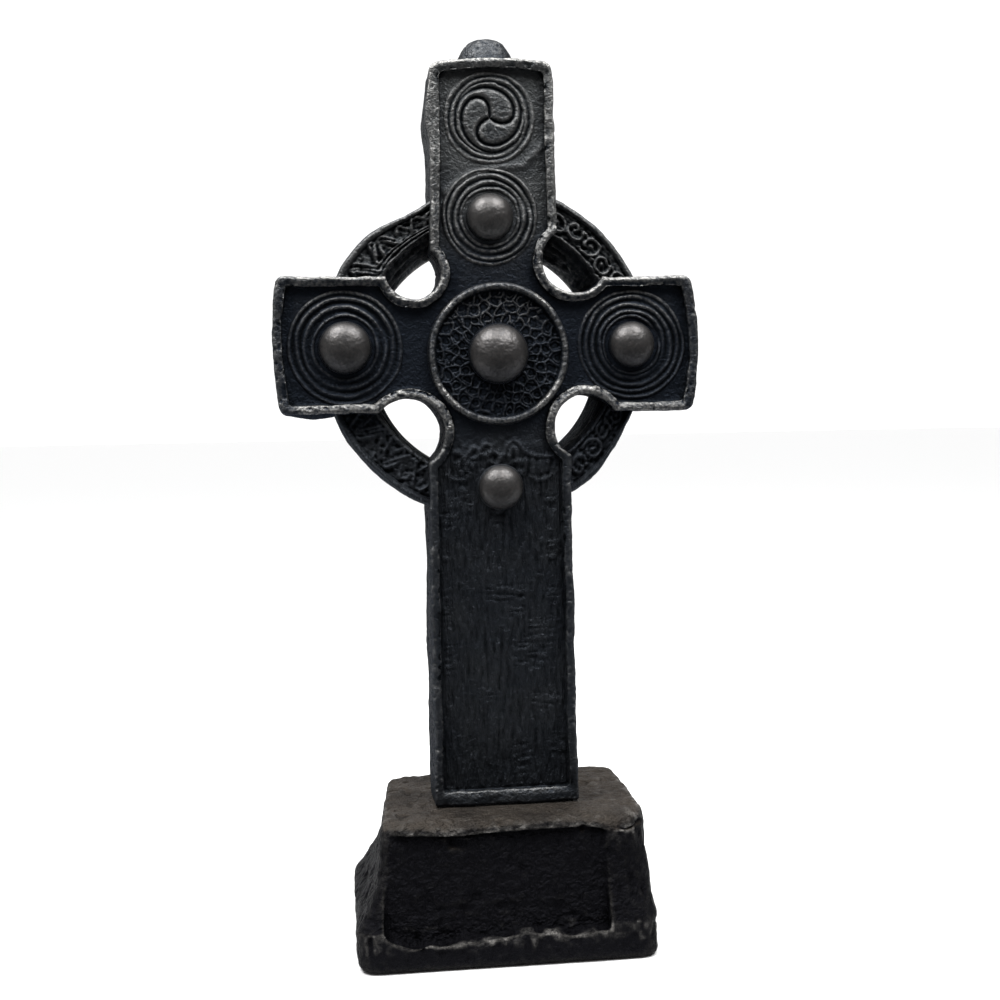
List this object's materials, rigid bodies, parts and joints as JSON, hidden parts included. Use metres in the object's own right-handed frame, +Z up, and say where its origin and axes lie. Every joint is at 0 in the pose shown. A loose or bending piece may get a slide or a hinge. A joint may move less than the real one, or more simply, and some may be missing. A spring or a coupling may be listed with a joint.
{
  "type": "celtic cross",
  "caption": "Ringed cross with raised rims, domed bosses and knotwork, standing on a battered block; a desk-top memorial ornament.",
  "frame": {"origin": "on the ground, under the middle of the whole object", "axes": "+Z up along the shaft, +X to the right as the carved face is seen, the carved face looks along -Y"},
  "size_m": [0.094, 0.0516, 0.2],
  "materials": {
    "cross": "near-black cast metal skin, worn grey on rims and bosses, green-blue in the hollows",
    "base": "near-black tooled cast skin, browner on top"
  },
  "bodies": {
    "root": {"cross": "cross", "base": "base"}
  },
  "joints": []
}
